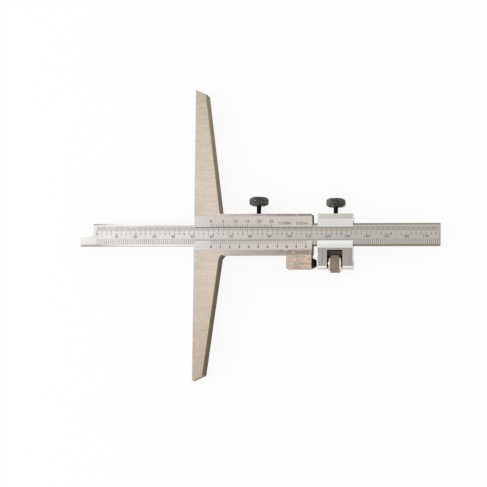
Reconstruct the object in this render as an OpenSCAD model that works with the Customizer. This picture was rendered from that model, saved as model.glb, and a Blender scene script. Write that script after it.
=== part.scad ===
// Depth gauge with vernier scales and a fine-adjust carriage, lying on its back.
// X = 0 is the datum face, and Y = 0, Z = 0 is the axis of the beam.
// The beam stands out towards -X, the carriage lies towards +X, and the graduations face +Z.

/* [Beam] */
// Depth that the gauge reads, which is how far the beam stands out of the datum face
reading = 60; // [0:1:100]
// Length of the beam from its measuring nose to its plain end
beam_len = 186.2; // [176:0.2:260]
// Height of the beam across its graduated face
beam_h = 11.6; // [10:0.1:14]
// Thickness of the beam
beam_t = 3.8; // [3.2:0.1:5]
// Chamfer on the long edges of the beam
beam_edge = 0.4; // [0.1:0.05:0.6]
// Length of the measuring nose
nose_len = 6.8; // [4:0.1:10]
// Height of the measuring nose
nose_h = 4.6; // [3:0.1:6]
// Radius between the nose and the full height of the beam
nose_fillet = 2; // [0.5:0.1:3]

/* [Base] */
// Length of the datum face
base_len = 150; // [120:1:200]
// Width of an arm where it leaves the frame
arm_root_w = 14; // [10:0.1:15]
// Width of an arm at its end
arm_tip_w = 5.9; // [3:0.1:8]
// How much shorter an arm is at its back edge than at the datum face
arm_slant = 2.6; // [1:0.1:5]
// Fillet between the upper arm and the frame
upper_fillet = 1.5; // [0.5:0.1:2.5]
// Fillet between the lower arm and the frame
lower_fillet = 3.5; // [1:0.1:4]

/* [Frame] */
// Length of the frame from the datum face
frame_len = 61; // [56:0.5:80]
// Wall between the gib and the top edge of the frame
upper_wall = 3.8; // [3:0.1:5]
// Wall between the beam and the bottom edge of the frame
lower_wall = 4.35; // [3.4:0.05:5]
// Metal in front of the beam
front_wall = 2.25; // [1.6:0.05:3.5]
// Metal behind the beam
back_wall = 3.15; // [2.6:0.05:4]
// How far the upper vernier edge reaches over the beam
upper_lip = 2.1; // [1.5:0.1:3.5]
// How far the lower vernier edge reaches over the beam
lower_lip = 3; // [1.5:0.1:3.5]
// Thickness of the vernier edges
lip_t = 0.4; // [0.2:0.05:0.8]
// Width of the flat strip above the upper vernier face
upper_land = 1.3; // [0.8:0.1:2.5]
// Width of the flat strip below the lower vernier face
lower_land = 2.2; // [0.8:0.1:3]
// Radius of the frame's upper corner at its free end
corner_r = 0.8; // [0.3:0.1:1.5]

/* [Guides] */
// Running gap between the beam and its guides
slide_gap = 0.05; // [0.02:0.01:0.1]
// Thickness of the gib strips
gib_t = 0.8; // [0.5:0.05:1.2]
// Width of the gib strips
gib_w = 3; // [2.6:0.1:3.2]
// Distance of a gib's ends from the ends of its channel
gib_inset = 2; // [1:0.1:4]
// Diameter of the gib's grub screws
grub_d = 2; // [1.6:0.1:2.5]
// Distance of the first grub screw from the upper arm's fillet
grub_set = 1.7; // [1:0.1:4]
// Distance of the second grub screw from the free end of the frame
grub_inset = 10.7; // [6:0.1:14]
// How deep a grub screw sits below the top edge
grub_sink = 0.4; // [0.1:0.1:0.8]

/* [Back plate] */
// Gap between the back plate and the edges round it
plate_gap = 0.05; // [0.02:0.01:0.1]
// Metal between the lower arm's fillet and the back plate
plate_set = 0.4; // [0.2:0.1:1]
// Diameter of the countersunk screws
small_d = 2; // [1.6:0.1:2.2]
// Diameter of their heads
small_head_d = 3.4; // [2.8:0.1:3.5]
// Distance of these screws from the ends of the plate, apart from the one above the lug
small_inset = 2.6; // [2:0.1:4]
// How deep these screws reach into the metal that the plate lies on
small_reach = 2.8; // [2:0.1:3.2]

/* [Lock screws] */
// Distance of the frame's lock screw from the datum face
lock_x = 33; // [30:0.1:36]
// Thread diameter of the lock screws
lock_d = 2.5; // [2:0.1:3]
// Diameter of the knurled heads
lock_head_d = 10; // [8:0.1:12]
// Thickness of the knurled heads
lock_head_t = 4.7; // [3:0.1:7]
// Bare stem under the head of the frame's lock screw
frame_stem = 4.35; // [1.5:0.05:6]
// Bare stem under the head of the carriage's lock screw
carriage_stem = 3.55; // [1.5:0.05:6]
// Length of the brass pads
pad_len = 1.2; // [0.8:0.1:2]
// Radial gap of a thread or a pin in its hole
run_gap = 0.05; // [0.02:0.01:0.08]
// Gap between faces that meet but turn or slide apart
face_gap = 0.02; // [0.01:0.01:0.1]

/* [Carriage] */
// Gap between the frame and the carriage
carriage_gap = 2.6; // [2:0.1:6]
// Length of the carriage along the beam
carriage_len = 18.2; // [16:0.1:24]
// Metal below the axis of the fine-adjust screw
carriage_foot = 2.7; // [2.5:0.05:5]
// Width of the flat strip above the carriage's upper bevel
carriage_land = 2.7; // [1:0.1:3]
// Height of the carriage's lower bevel
carriage_bevel = 4.2; // [2:0.1:5]
// Chamfer along the bottom edges of the carriage
carriage_edge = 1.1; // [0.3:0.1:1.5]
// Wall between the beam's channel and the window of the nut
window_roof = 2.25; // [1.5:0.05:3]
// How far the wall behind the nut reaches down past the nut's top
window_apron = 2.6; // [1.5:0.1:3]

/* [Fine adjustment] */
// Distance of the fine-adjust screw below the axis of the beam
fine_drop = 14.7; // [14.5:0.1:17]
// Thread diameter of the fine-adjust screw
fine_d = 4; // [3:0.1:4.2]
// Diameter of its collar
collar_d = 5; // [4.5:0.1:5.6]
// Length of its collar
collar_len = 1.4; // [0.8:0.1:1.5]
// Diameter of its end inside the lug
spigot_d = 3.2; // [2.4:0.1:3.6]
// How deep this end sits in the lug
spigot_len = 9.6; // [8:0.1:12]
// Free travel of the carriage away from the frame
feed_out = 4; // [1:0.1:6]
// Diameter of the knurled nut
nut_d = 9.6; // [8:0.1:9.8]
// Width of the knurled band
nut_band = 5.2; // [3:0.1:6]
// Length of the nut over its chamfered ends
nut_len = 7.7; // [6.5:0.1:9]
// Diameter of the nut's end faces
nut_face_d = 7; // [5.5:0.1:7.5]
// Gap beside the nut in its window
nut_gap = 0.12; // [0.05:0.01:0.3]
// Gap round the nut in its window
nut_relief = 0.35; // [0.2:0.05:0.6]

/* [Lug] */
// Length of the lug along the frame
lug_len = 13.1; // [12.5:0.1:16]
// Thickness of the lug
lug_t = 7.2; // [5.5:0.1:8]
// Metal below the screw's end in the lug
lug_floor = 1.4; // [0.8:0.1:2]
// Distance of the lug's end from the end of the frame
lug_set = 0.2; // [0:0.1:1]
// Chamfer round the lug's front face
lug_edge = 0.5; // [0.2:0.1:0.8]
// Distance of each lug screw from the middle of the lug
lug_screw_reach = 3.7; // [3.4:0.1:4]
// Metal left between a lug screw's end and the fine-adjust screw
lug_screw_rest = 0.4; // [0.2:0.1:0.8]
// Diameter of the cross pin
pin_d = 1.5; // [1:0.1:1.8]

/* [Knurling] */
// Number of ridges round a lock screw's head
head_ridges = 40; // [24:1:60]
// Number of ridges round the nut
nut_ridges = 36; // [24:1:60]
// Depth of the knurling
ridge_depth = 0.25; // [0.1:0.05:0.4]
// Rounding of a head's edges
head_round = 1.2; // [0.3:0.1:1.4]

/* [Hidden] */
$fn = 64;

// A cut runs this far past the face that it opens
over = 1;

// The channel of the beam, measured from the beam's axis
channel_down = beam_h / 2 + slide_gap;
channel_up = channel_down + gib_t + slide_gap;
channel_z = beam_t / 2 + slide_gap;
// Outer faces of the frame, measured from the beam's axis
frame_up = channel_up + upper_wall;
frame_down = channel_down + lower_wall;
front_z = channel_z + front_wall;
back_z = -channel_z - back_wall;
// Edges of the window between the two vernier edges
window_up = beam_h / 2 - upper_lip;
window_down = beam_h / 2 - lower_lip;
lip_z = channel_z + lip_t;

// The beam's ends
tip_x = -reading;
tail_x = tip_x + beam_len;

// The frame's back plate and the holes round it
plate_x = arm_root_w + lower_fillet + plate_set;
upper_hole_y = (channel_up + frame_up) / 2;
lower_hole_y = -(channel_down + frame_down) / 2;
hole_z = -channel_z + small_reach;
head_sink = (small_head_d - small_d) / 2;

// The carriage and its nut
carriage_x0 = frame_len + carriage_gap;
carriage_x1 = carriage_x0 + carriage_len;
carriage_mid = (carriage_x0 + carriage_x1) / 2;
carriage_down = fine_drop + carriage_foot;
fine_y = -fine_drop;
window_w = nut_len + 2 * nut_gap;
window_top = -channel_down - window_roof;
relief_r = nut_d / 2 + nut_relief;
apron_y = fine_y + nut_d / 2 - window_apron;

// The lug and the fine-adjust screw in it
lug_x1 = frame_len - lug_set;
lug_x0 = lug_x1 - lug_len;
lug_mid = (lug_x0 + lug_x1) / 2;
lug_down = fine_drop + spigot_d / 2 + lug_floor;
fine_end = carriage_mid + nut_len / 2 + feed_out - nut_gap;
pin_z = spigot_d / 4;

// A flat shape drawn in (Y, Z), drawn out along X
module along_x(x0, x1) {
    translate([x0, 0, 0]) rotate([90, 0, 90]) linear_extrude(x1 - x0) children();
}

// A block between two corners
module block(low, high) {
    translate(low) cube(high - low);
}

// Round bars along each axis
module rod_x(x0, x1, y, d) {
    translate([x0, y, 0]) rotate([0, 90, 0]) cylinder(h = x1 - x0, d = d);
}

module rod_y(y0, y1, x, d) {
    translate([x, y0, 0]) rotate([-90, 0, 0]) cylinder(h = y1 - y0, d = d);
}

module rod_z(z0, z1, x, y, d) {
    translate([x, y, z0]) cylinder(h = z1 - z0, d = d);
}

// A toothed disc outline, one ridge for each count
module ridged_disc(d, ridges) {
    polygon([for (i = [0 : 2 * ridges - 1])
        (d / 2 - (i % 2) * ridge_depth) * [cos(180 * i / ridges), sin(180 * i / ridges)]]);
}

// A countersunk screw along +Z from its head's face, with a straight slot
module small_screw(length) {
    difference() {
        union() {
            cylinder(h = length, d = small_d);
            cylinder(h = head_sink, d1 = small_head_d, d2 = small_d);
        }
        translate([-small_head_d / 2, -small_head_d / 16, -over])
            cube([small_head_d, small_head_d / 8, over + head_sink / 2]);
    }
}

// The hole that a countersunk screw of the same length sits in
module small_hole(length) {
    hole_d = small_d + 2 * run_gap;
    translate([0, 0, -over]) cylinder(h = length + over + run_gap, d = hole_d);
    cylinder(h = head_sink, d1 = small_head_d + 2 * run_gap, d2 = hole_d);
    translate([0, 0, -over]) cylinder(h = over, d = small_head_d + 2 * run_gap);
}

// Centres of the four screws of the back plate, of which the last goes in between the lug screws
plate_holes = [
    for (p = [
        [plate_x + small_inset, upper_hole_y], [frame_len - small_inset, upper_hole_y],
        [plate_x + small_inset, lower_hole_y], [lug_mid, lower_hole_y]])
    [p[0], p[1], back_z + plate_gap]];

// The length of these screws, from the plate's back face into the frame
plate_screw_len = hole_z - back_z - plate_gap;

// Holes of these screws, through the plate and into the metal before it
module plate_screw_holes() {
    for (p = plate_holes) translate(p) small_hole(plate_screw_len);
}

module frame_back_screw(index) {
    color("lightgray") translate(plate_holes[index]) small_screw(plate_screw_len);
}

// The channel of the beam, drawn in (Y, Z)
module channel_shape() {
    translate([-channel_down, -channel_z]) square([channel_down + channel_up, 2 * channel_z]);
}

// The metal taken away in front of the channel: the window and both sloping faces
module bevel_shape(upper_edge, lower_edge) {
    polygon([
        [-window_down, 0], [-window_down, lip_z], [lower_edge, front_z],
        [lower_edge, front_z + over], [upper_edge, front_z + over],
        [upper_edge, front_z], [window_up, lip_z], [window_up, 0]]);
}

// A fillet in the corner above the frame, between its edge at y and an arm of that slope
module root_fillet(y, r) {
    lean = atan2(base_len / 2 - arm_slant - y, arm_tip_w - arm_root_w);
    run = r / tan(lean / 2);
    corner = [arm_root_w, y];
    on_frame = corner + [run, 0];
    on_arm = corner + run * [cos(lean), sin(lean)];
    centre = corner + [run, r];
    difference() {
        polygon([corner - [r, r], on_frame - [0, r], on_frame, centre, on_arm, on_arm - [r, 0]]);
        translate(centre) circle(r);
    }
}

// The outline of the base and frame, seen from the front
module base_shape() {
    half = base_len / 2;
    polygon([
        [0, -half], [arm_tip_w, arm_slant - half], [arm_root_w, -frame_down],
        [arm_root_w, frame_up], [arm_tip_w, half - arm_slant], [0, half]]);
    difference() {
        translate([0, -frame_down]) square([frame_len, frame_down + frame_up]);
        translate([frame_len - corner_r, frame_up - corner_r]) difference() {
            square(corner_r + over);
            circle(corner_r);
        }
    }
    root_fillet(frame_up, upper_fillet);
    mirror([0, 1]) root_fillet(frame_down, lower_fillet);
}

// The places of the two grub screws along the frame
grub_x = [arm_root_w + upper_fillet + grub_set, frame_len - grub_inset];

module base_frame() {
    color("tan") difference() {
        translate([0, 0, back_z]) linear_extrude(front_z - back_z) base_shape();
        along_x(-over, frame_len + over) channel_shape();
        along_x(-over, frame_len + over) bevel_shape(frame_up - upper_land, lower_land - frame_down);
        block([plate_x - plate_gap, -frame_down - over, back_z - over],
            [frame_len + over, frame_up + over, -channel_z]);
        plate_screw_holes();
        rod_y(0, frame_up + over, lock_x, lock_d + 2 * run_gap);
        for (x = grub_x) rod_y(0, frame_up + over, x, grub_d + 2 * run_gap);
        for (side = [-1, 1]) lug_screw_place(side) small_hole(lug_screw_len);
    }
}

module frame_back_plate() {
    color("silver") difference() {
        block([plate_x, -frame_down + plate_gap, back_z + plate_gap],
            [frame_len, frame_up - plate_gap, -channel_z]);
        plate_screw_holes();
    }
}

// A gib strip with rounded ends, lying on the upper edge of the beam
module gib(x0, x1) {
    y0 = beam_h / 2 + slide_gap;
    ends = gib_w / 2;
    color("goldenrod") {
        block([x0 + ends, y0, -ends], [x1 - ends, y0 + gib_t, ends]);
        for (x = [x0 + ends, x1 - ends]) rod_y(y0, y0 + gib_t, x, gib_w);
    }
}

module frame_gib() {
    gib(gib_inset, frame_len - gib_inset);
}

module gib_grub_screw(index) {
    x = grub_x[index];
    top = frame_up - grub_sink;
    slot = grub_d / 5;
    color("dimgray") difference() {
        rod_y(channel_up - slide_gap + face_gap, top, x, grub_d);
        block([x - grub_d, top - slot, -slot / 2], [x + grub_d, top + over, slot / 2]);
    }
}

// The brass pad that a lock screw pushes against the gib
pad_y = channel_up - slide_gap + face_gap;
stem_y = pad_y + pad_len + face_gap;

module lock_pad(x) {
    color("goldenrod") rod_y(pad_y, pad_y + pad_len, x, lock_d);
}

// A lock screw with its knurled head, standing on its pad
module lock_screw(x, stem) {
    head_y = frame_up + stem;
    color([0.12, 0.12, 0.12]) {
        rod_y(stem_y, head_y + lock_head_t / 2, x, lock_d);
        translate([x, head_y, 0]) rotate([-90, 0, 0]) intersection() {
            linear_extrude(lock_head_t) ridged_disc(lock_head_d, head_ridges);
            rotate_extrude() head_profile();
        }
    }
}

// Half the section that trims a ridged disc: both edges are cut off by a cone that meets
// the rim at that depth from the end face, and runs on past the ridges
module trim_profile(d, face_d, depth, length) {
    past = d / 2 + ridge_depth;
    rise = depth * (past - face_d / 2) / (d / 2 - face_d / 2);
    polygon([
        [0, 0], [face_d / 2, 0], [past, rise], [past, length - rise],
        [face_d / 2, length], [0, length]]);
}

// Half the section of a knurled head: each edge is broken by a flat cone and a steep one
module head_profile() {
    intersection() {
        trim_profile(lock_head_d, lock_head_d - 2 * head_round, head_round / 2, lock_head_t);
        trim_profile(lock_head_d, lock_head_d - head_round, head_round, lock_head_t);
    }
}

module frame_lock_pad() {
    lock_pad(lock_x);
}

module frame_lock_screw() {
    lock_screw(lock_x, frame_stem);
}

// The section of the beam, with a chamfer on each long edge
module beam_shape() {
    y = beam_h / 2;
    z = beam_t / 2;
    polygon([
        [beam_edge - y, -z], [y - beam_edge, -z], [y, beam_edge - z], [y, z - beam_edge],
        [y - beam_edge, z], [beam_edge - y, z], [-y, z - beam_edge], [-y, beam_edge - z]]);
}

module beam() {
    nose_top = nose_h - beam_h / 2;
    step_x = tip_x + nose_len;
    color("gainsboro") difference() {
        along_x(tip_x, tail_x) beam_shape();
        translate([0, 0, -beam_t]) linear_extrude(2 * beam_t) {
            translate([tip_x - over, nose_top + nose_fillet])
                square([nose_len + over, beam_h]);
            translate([tip_x - over, nose_top])
                square([nose_len + over - nose_fillet, beam_h]);
            translate([step_x - nose_fillet, nose_top + nose_fillet]) circle(nose_fillet);
        }
    }
}

// Lug screws go in from the floor of the channel
lug_screw_len = fine_drop - spigot_d / 2 - lug_screw_rest - channel_down - face_gap;

module lug_screw_place(side) {
    translate([lug_mid + side * lug_screw_reach, -channel_down - face_gap, 0])
        rotate([90, 0, 0]) children();
}

module screw_lug() {
    color("tan") difference() {
        translate([lug_x0, 0, 0]) linear_extrude(lug_t, center = true) polygon([
            [0, -frame_down], [0, lug_edge - lug_down], [lug_edge, -lug_down],
            [lug_len - lug_edge, -lug_down], [lug_len, lug_edge - lug_down],
            [lug_len, -frame_down]]);
        for (side = [-1, 1]) lug_screw_place(side) small_hole(lug_screw_len);
        rod_x(lug_x1 - spigot_len, lug_x1 + over, fine_y, spigot_d + 2 * run_gap);
        rod_z(-lug_t, pin_z + run_gap, lug_mid, fine_y, pin_d + 2 * run_gap);
    }
}

module lug_screw(side) {
    color("lightgray") lug_screw_place(side) small_screw(lug_screw_len);
}

module fine_screw() {
    color([0.12, 0.12, 0.12]) difference() {
        union() {
            rod_x(lug_x1 - spigot_len + run_gap, lug_x1 + collar_len, fine_y, spigot_d);
            rod_x(lug_x1, lug_x1 + collar_len, fine_y, collar_d);
            rod_x(lug_x1 + collar_len / 2, fine_end, fine_y, fine_d);
        }
        rod_z(-lug_t, pin_z + run_gap, lug_mid, fine_y, pin_d + 2 * run_gap);
    }
}

module anchor_pin() {
    color("silver") rod_z(-lug_t / 2 + run_gap, pin_z, lug_mid, fine_y, pin_d);
}

// The section of the carriage, with its bottom edges chamfered
module carriage_shape() {
    polygon([
        [-carriage_down, back_z + carriage_edge], [carriage_edge - carriage_down, back_z],
        [frame_up, back_z], [frame_up, front_z],
        [carriage_edge - carriage_down, front_z], [-carriage_down, front_z - carriage_edge]]);
}

// The room for the nut: open in front, and behind only below the apron
module nut_window() {
    x0 = carriage_mid - window_w / 2;
    x1 = carriage_mid + window_w / 2;
    block([x0, -carriage_down - over, -channel_z], [x1, window_top, front_z + over]);
    block([x0, -carriage_down - over, back_z - over], [x1, apron_y, front_z]);
    rod_x(x0, x1, fine_y, 2 * relief_r);
}

module carriage_body() {
    color("silver") difference() {
        along_x(carriage_x0, carriage_x1) carriage_shape();
        along_x(carriage_x0 - over, carriage_x1 + over) channel_shape();
        along_x(carriage_x0 - over, carriage_x1 + over)
            bevel_shape(frame_up - carriage_land, -window_down - carriage_bevel);
        rod_y(0, frame_up + over, carriage_mid, lock_d + 2 * run_gap);
        rod_x(carriage_x0 - over, carriage_x1 + over, fine_y, fine_d + 2 * run_gap);
        nut_window();
    }
}

module carriage_gib() {
    gib(carriage_x0 + gib_inset, carriage_x1 - gib_inset);
}

module carriage_lock_pad() {
    lock_pad(carriage_mid);
}

module carriage_lock_screw() {
    lock_screw(carriage_mid, carriage_stem);
}

module fine_nut() {
    end_w = (nut_len - nut_band) / 2;
    color([0.5, 0.47, 0.42]) translate([carriage_mid - nut_len / 2, fine_y, 0]) rotate([0, 90, 0])
        difference() {
            intersection() {
                linear_extrude(nut_len) ridged_disc(nut_d, nut_ridges);
                rotate_extrude() trim_profile(nut_d, nut_face_d, end_w, nut_len);
            }
            translate([0, 0, -over]) cylinder(h = nut_len + 2 * over, d = fine_d + 2 * run_gap);
        }
}

base_frame();
frame_back_plate();
frame_back_screw(0);  // frame_back_screw_1
frame_back_screw(1);  // frame_back_screw_2
frame_back_screw(2);  // frame_back_screw_3
frame_back_screw(3);  // frame_back_screw_4
frame_gib();
gib_grub_screw(0);  // gib_grub_screw_1
gib_grub_screw(1);  // gib_grub_screw_2
frame_lock_pad();
frame_lock_screw();
beam();
screw_lug();
lug_screw(-1);  // lug_screw_1
lug_screw(1);  // lug_screw_2
fine_screw();
anchor_pin();
carriage_body();
carriage_gib();
carriage_lock_pad();
carriage_lock_screw();
fine_nut();
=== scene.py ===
"""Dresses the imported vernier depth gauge: its finishes, engraved scales, knurls and threads.

The gauge lies on its back on a pale floor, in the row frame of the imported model, in metres. X runs
along the beam, from the measuring nose at -X to the carriage at +X, and the graduations face +Z.
"""

import logging
import math
from collections.abc import Callable, Iterable, Sequence
from dataclasses import dataclass, field, replace
from enum import Enum
from functools import cache

import bmesh
import bpy
from mathutils import Matrix, Vector


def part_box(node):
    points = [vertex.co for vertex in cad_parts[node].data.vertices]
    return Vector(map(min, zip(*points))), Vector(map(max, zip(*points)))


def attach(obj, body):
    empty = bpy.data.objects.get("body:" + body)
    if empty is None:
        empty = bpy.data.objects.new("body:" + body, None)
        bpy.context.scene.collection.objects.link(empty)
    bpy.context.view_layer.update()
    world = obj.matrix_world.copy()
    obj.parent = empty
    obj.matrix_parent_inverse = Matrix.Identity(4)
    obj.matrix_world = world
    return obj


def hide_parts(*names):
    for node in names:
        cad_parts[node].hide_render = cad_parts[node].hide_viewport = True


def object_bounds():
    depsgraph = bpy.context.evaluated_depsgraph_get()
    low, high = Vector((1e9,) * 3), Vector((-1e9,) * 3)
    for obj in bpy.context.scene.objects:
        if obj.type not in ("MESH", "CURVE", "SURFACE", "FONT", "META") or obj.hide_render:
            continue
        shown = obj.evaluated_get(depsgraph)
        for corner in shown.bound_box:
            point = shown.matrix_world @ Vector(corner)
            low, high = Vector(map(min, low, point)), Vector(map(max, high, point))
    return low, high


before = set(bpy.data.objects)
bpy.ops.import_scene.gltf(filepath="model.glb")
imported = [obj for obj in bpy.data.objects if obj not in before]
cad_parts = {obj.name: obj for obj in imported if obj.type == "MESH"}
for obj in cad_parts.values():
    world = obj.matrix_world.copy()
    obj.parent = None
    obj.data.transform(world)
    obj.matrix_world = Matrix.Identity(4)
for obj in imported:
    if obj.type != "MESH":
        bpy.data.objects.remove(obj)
CAD_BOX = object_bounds()

LOG = logging.getLogger("depth_gauge")
MM = 0.001
INCH = 25.4 * MM

# Distance of the beam's zeros from its nose, and height of the bevels' lower edges over the beam's axis
ZERO_TO_NOSE = 8.8 * MM
LIP_Z = 2.35 * MM
# Width of the painted shadow along these lips, and of the eased edges of small pieces
LIP_CHAMFER = 0.22 * MM
SMALL_EASE = 0.05 * MM
# How close two places count as one
NEAR = 0.05 * MM
# Least share of a direction along an axis, from square to it down to 45 degrees off it
SQUARE = 0.99
FACING = 0.9
MOSTLY = 0.8
SLOPED = 0.7
# Share along Z below which a face is a wall
WALL = 0.3
# Angle in degrees above which an edge of a turned piece stays sharp, and points round it for each ridge
TURNED_CORNER = 40.0
RIDGE_POINTS = 4
WHITE = (1.0, 1.0, 1.0, 1.0)

Colour = tuple[float, float, float]
Triple = tuple[float, float, float]


@cache
def node_box(node: str) -> tuple[Vector, Vector]:
    """A CAD node's lowest and highest corners at rest, measured once."""
    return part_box(node)


class Body(Enum):
    """The bodies that pieces ride on."""

    FRAME = "frame"
    BEAM = "beam"
    CARRIAGE = "carriage"
    NUT = "fine_nut"
    FRAME_LOCK = "frame_lock_screw"
    CARRIAGE_LOCK = "carriage_lock_screw"


class Slot(Enum):
    """The record's material slots."""

    FRAME = "brushed_frame"
    SATIN = "satin_steel"
    BEAM = "beam_steel"
    BLACK = "black_oxide"
    NICKEL = "nickel"
    BRASS = "brass"
    SCREW = "screw_steel"


class Axis(Enum):
    """An axis that marks, fades and turned pieces follow, by its index in the row frame."""

    X = 0
    Y = 1


class Lay(Enum):
    """How the marks of grinding or turning run: whether they change quickly along X, Y and Z."""

    ALONG_X = (False, True, True)
    ALONG_Y = (True, False, True)
    ROUND_X = (True, False, False)
    ROUND_Z = (False, False, True)
    EVEN = (True, True, True)


# ---------------------------------------------------------------- shading


class Socket:
    """A node's output, which takes part in Python expressions by adding Math nodes."""

    def __init__(self, tree: "Tree", socket: bpy.types.NodeSocket) -> None:
        """Wraps an output socket of one of the tree's nodes."""
        self.tree = tree
        self.socket = socket

    def _math(self, operation: str, first: "Value", second: "Value") -> "Socket":
        """Adds a Math node that takes two values."""
        return self.tree.node("ShaderNodeMath", {"operation": operation}, {0: first, 1: second})

    def __add__(self, other: "Value") -> "Socket":
        """This socket plus a value."""
        return self._math("ADD", self, other)

    def __radd__(self, other: "Value") -> "Socket":
        """A value plus this socket."""
        return self._math("ADD", other, self)

    def __sub__(self, other: "Value") -> "Socket":
        """This socket minus a value."""
        return self._math("SUBTRACT", self, other)

    def __rsub__(self, other: "Value") -> "Socket":
        """A value minus this socket."""
        return self._math("SUBTRACT", other, self)

    def __mul__(self, other: "Value") -> "Socket":
        """This socket times a value."""
        return self._math("MULTIPLY", self, other)

    def __rmul__(self, other: "Value") -> "Socket":
        """A value times this socket."""
        return self._math("MULTIPLY", other, self)

    def maximum(self, other: "Value") -> "Socket":
        """The larger of this socket and a value."""
        return self._math("MAXIMUM", self, other)


Value = Socket | float | Sequence[float]


class Tree:
    """The node tree of a material or a world."""

    def __init__(self, owner: bpy.types.Material | bpy.types.World) -> None:
        """Empties the owner's tree.

        Args:
            owner: The material or world whose tree is filled.
        """
        owner.use_nodes = True
        self.nodes = owner.node_tree.nodes
        self.links = owner.node_tree.links
        self.nodes.clear()

    def node(
        self,
        kind: str,
        settings: dict[str, object] | None = None,
        inputs: dict[str | int, Value] | None = None,
        output: str | int = 0,
    ) -> Socket:
        """Adds a node of any type.

        Args:
            kind: The node's type.
            settings: Its properties, set before its sockets; "stops" sets a colour ramp.
            inputs: Values or links of its input sockets, by name or index.
            output: The output socket to return, by name or index.

        Returns:
            The chosen output, or None on a node without one.
        """
        made = self.nodes.new(kind)
        for key, value in (settings or {}).items():
            if key == "stops":
                self._set_stops(made.color_ramp, value)
            else:
                setattr(made, key, value)
        for key, value in (inputs or {}).items():
            if isinstance(value, Socket):
                self.links.new(value.socket, made.inputs[key])
            else:
                made.inputs[key].default_value = value
        return Socket(self, made.outputs[output]) if made.outputs else None

    @staticmethod
    def _set_stops(ramp: bpy.types.ColorRamp, stops: Sequence[tuple[float, float]]) -> None:
        """Gives a ramp its stops.

        Args:
            ramp: The ramp to fill.
            stops: Place and grey level of each stop.
        """
        while len(ramp.elements) < len(stops):
            ramp.elements.new(1.0)
        for element, (place, level) in zip(ramp.elements, stops, strict=True):
            element.position = place
            element.color = (level, level, level, 1.0)

    def place(self) -> Socket:
        """The point's place in the piece's own space, which is the row frame at rest."""
        return self.node("ShaderNodeTexCoord", output="Object")

    def component(self, vector: Socket, axis: Axis) -> Socket:
        """One component of a vector."""
        return self.node("ShaderNodeSeparateXYZ", inputs={0: vector}, output=axis.value)

    def scaled(self, vector: Socket, scale: Triple) -> Socket:
        """A vector times a scale for each axis."""
        return self.node("ShaderNodeVectorMath", {"operation": "MULTIPLY"}, {0: vector, 1: scale})

    def noise(self, vector: Socket, detail: float = 3.0, roughness: float = 0.6) -> Socket:
        """Noise of unit size over a place that is already scaled."""
        values = {"Vector": vector, "Scale": 1.0, "Detail": detail, "Roughness": roughness}
        return self.node("ShaderNodeTexNoise", inputs=values)

    def ramp(self, factor: Socket, stops: Sequence[tuple[float, float]]) -> Socket:
        """A grey level for each value of a factor."""
        return self.node("ShaderNodeValToRGB", {"stops": stops}, {0: factor})

    def blend(self, factor: Value, low: Socket | Colour, high: Socket | Colour) -> Socket:
        """A colour between two: the low one at factor 0, the high one at 1."""
        inputs = {0: factor, 6: _rgba(low), 7: _rgba(high)}
        return self.node("ShaderNodeMix", {"data_type": "RGBA"}, inputs, output=2)


def _rgba(colour: Socket | Colour) -> Socket | tuple[float, float, float, float]:
    """A colour with its alpha, or the socket as it is."""
    return colour if isinstance(colour, Socket) else (*colour, 1.0)


# Levels of the marks, clouds and flecks over their noise
MARK_STOPS = ((0.35, 1.0), (0.65, 0.0))
CLOUD_STOPS = ((0.4, 0.0), (0.75, 1.0))
FLECK_STOPS = ((0.5, 0.0), (0.68, 1.0))
# Clouds along Y for each one along X, and flecks along X for each one along Y
CLOUD_CROWDING = 1.7
FLECK_CROWDING = 0.6
# How far marks and clouds change the roughness, and how deep the painted shade towards the ends is
MARK_ROUGHNESS = 0.25
CLOUD_ROUGHNESS = 0.15
END_SHADE = 0.5


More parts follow.
